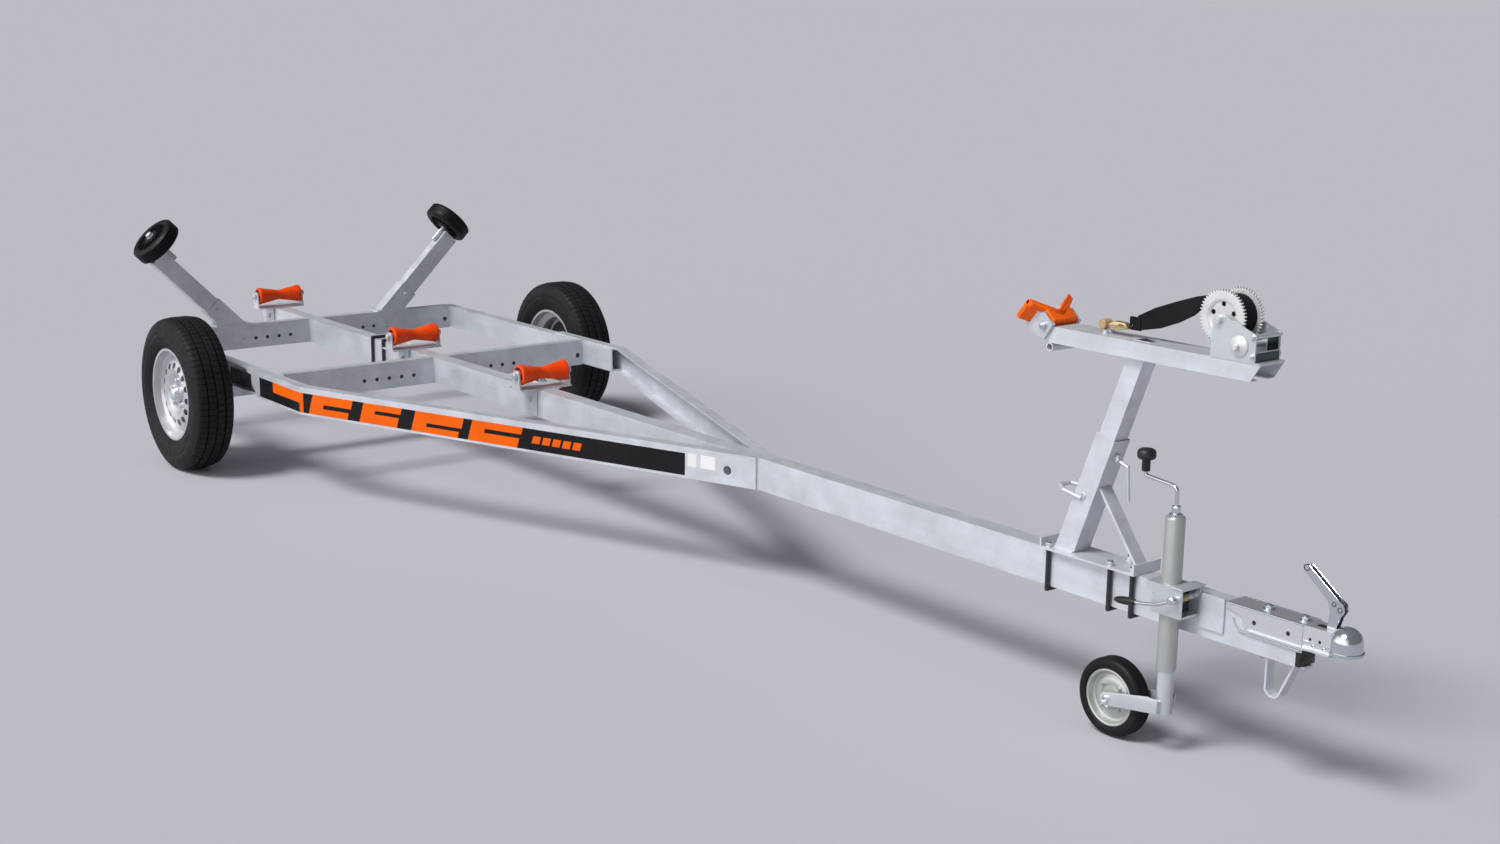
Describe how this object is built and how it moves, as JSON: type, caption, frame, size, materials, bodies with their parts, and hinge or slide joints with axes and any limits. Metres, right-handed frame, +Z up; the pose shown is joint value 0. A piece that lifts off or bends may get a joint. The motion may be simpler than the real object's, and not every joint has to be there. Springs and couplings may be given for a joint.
{
  "type": "boat trailer",
  "caption": "Single-axle boat trailer with keel rollers, side supports, winch stand, jockey wheel and ball coupling.",
  "frame": {"origin": "on the ground under the middle of the bounding box", "axes": "+X forwards to the coupling, +Y to the left, +Z up"},
  "size_m": [5.689, 1.836, 1.143],
  "materials": {
    "galvanised": "dull hot-dip galvanised steel",
    "zinc": "bright zinc-plated steel",
    "silver_paint": "silver painted steel wheel",
    "black_steel": "black painted steel",
    "road_tyre": "black tyre rubber",
    "black_rubber": "black moulded rubber",
    "orange_roller": "smooth orange polyurethane",
    "black_plastic": "black plastic",
    "strap_web": "black woven webbing",
    "white_zinc": "white-passivated gear discs"
  },
  "bodies": {
    "chassis": {"axle_beam": "galvanised", "axle_pads": "galvanised", "beam_plug": "black_plastic", "clamp_grip": "black_plastic", "clamp_lever": "zinc", "coupling": "zinc", "coupling_handle": "zinc", "coupling_head": "zinc", "cover_plate": "galvanised", "crossbeam_mid": "galvanised", "crossbeam_rear": "galvanised", "front_rail_left": "galvanised", "front_rail_right": "galvanised", "jockey_clamp": "zinc", "jockey_tube": "zinc", "keel_bracket_front": "galvanised", "keel_bracket_mid": "galvanised", "keel_bracket_rear": "galvanised", "main_beam": "galvanised", "post_clamp": "zinc", "rear_rail_left": "galvanised", "rear_rail_right": "galvanised", "safety_loop": "galvanised", "stand_grip": "zinc", "support_arm_left": "galvanised", "support_arm_right": "galvanised", "support_sleeve_left": "galvanised", "support_sleeve_right": "galvanised", "u_bolts": "black_steel", "winch_stand": "galvanised"},
    "wheel_left": {"tyre_left": "road_tyre", "rim_left": "silver_paint", "hub_left": "zinc"},
    "wheel_right": {"tyre_right": "road_tyre", "rim_right": "silver_paint", "hub_right": "zinc"},
    "keel_roller_rear": {"keel_roller_rear": "orange_roller"},
    "keel_roller_mid": {"keel_roller_mid": "orange_roller"},
    "keel_roller_front": {"keel_roller_front": "orange_roller"},
    "support_wheel_left": {"support_wheel_left": "black_rubber"},
    "support_wheel_right": {"support_wheel_right": "black_rubber"},
    "winch_mast": {"winch_post": "galvanised", "winch_arm": "galvanised", "bow_stop": "orange_roller", "bow_stop_plates": "zinc", "winch_frame": "zinc", "winch_strap": "strap_web", "strap_hook": "zinc"},
    "winch_drum": {"winch_drum": "white_zinc", "wound_strap": "strap_web"},
    "jockey_nut": {"jockey_nut": "zinc"},
    "jockey_leg": {"jockey_leg": "zinc"},
    "jockey_wheel": {"jockey_tyre": "black_rubber", "jockey_rim": "zinc"},
    "jockey_crank": {"jockey_crank": "zinc", "crank_knob": "black_plastic"},
    "winch_pinion": {"winch_pinion": "white_zinc"}
  },
  "joints": [
    {"name": "wheel_left_spin", "type": "hinge", "parent": "chassis", "child": "wheel_left", "pos_m": [-1.7255, 0.8395, 0.289], "axis": [0, 1, 0], "continuous": true},
    {"name": "wheel_right_spin", "type": "hinge", "parent": "chassis", "child": "wheel_right", "pos_m": [-1.7255, -0.8395, 0.289], "axis": [0, 1, 0], "continuous": true},
    {"name": "keel_roller_rear_spin", "type": "hinge", "parent": "chassis", "child": "keel_roller_rear", "pos_m": [-2.7325, 0, 0.465], "axis": [0, 1, 0], "continuous": true},
    {"name": "keel_roller_mid_spin", "type": "hinge", "parent": "chassis", "child": "keel_roller_mid", "pos_m": [-1.4935, 0, 0.465], "axis": [0, 1, 0], "continuous": true},
    {"name": "keel_roller_front_spin", "type": "hinge", "parent": "chassis", "child": "keel_roller_front", "pos_m": [-0.5485, 0, 0.465], "axis": [0, 1, 0], "continuous": true},
    {"name": "support_wheel_left_spin", "type": "hinge", "parent": "chassis", "child": "support_wheel_left", "pos_m": [-2.3975, 0.67018, 0.77982], "axis": [0, 0.7071, 0.7071], "continuous": true},
    {"name": "support_wheel_right_spin", "type": "hinge", "parent": "chassis", "child": "support_wheel_right", "pos_m": [-2.3975, -0.67018, 0.77982], "axis": [0, -0.7071, 0.7071], "continuous": true},
    {"name": "winch_mast_height", "type": "slide", "parent": "chassis", "child": "winch_mast", "axis": [0.3453, 0, 0.9385], "range_m": [-0.13, 0.06]},
    {"name": "winch_drum_spin", "type": "hinge", "parent": "winch_mast", "child": "winch_drum", "pos_m": [2.4305, 0, 1.078], "axis": [0, 1, 0], "continuous": true},
    {"name": "winch_pinion_spin", "type": "hinge", "parent": "winch_mast", "child": "winch_pinion", "pos_m": [2.4915, 0, 1.02], "axis": [0, 1, 0], "continuous": true},
    {"name": "jockey_wheel_height", "type": "slide", "parent": "chassis", "child": "jockey_nut", "axis": [0, 0, -1], "range_m": [-0.04, 0.15]},
    {"name": "jockey_swivel", "type": "hinge", "parent": "jockey_nut", "child": "jockey_leg", "pos_m": [2.3595, -0.066, 0.21], "axis": [0, 0, 1], "continuous": true},
    {"name": "jockey_wheel_spin", "type": "hinge", "parent": "jockey_leg", "child": "jockey_wheel", "pos_m": [2.2055, -0.066, 0.1], "axis": [0, 1, 0], "continuous": true},
    {"name": "jockey_crank_turn", "type": "hinge", "parent": "chassis", "child": "jockey_crank", "pos_m": [2.3595, -0.066, 0.62], "axis": [0, 0, 1], "continuous": true}
  ],
  "couplings": [
    {"joint": "winch_pinion_spin", "follows": "winch_drum_spin", "ratio": -3.5}
  ]
}
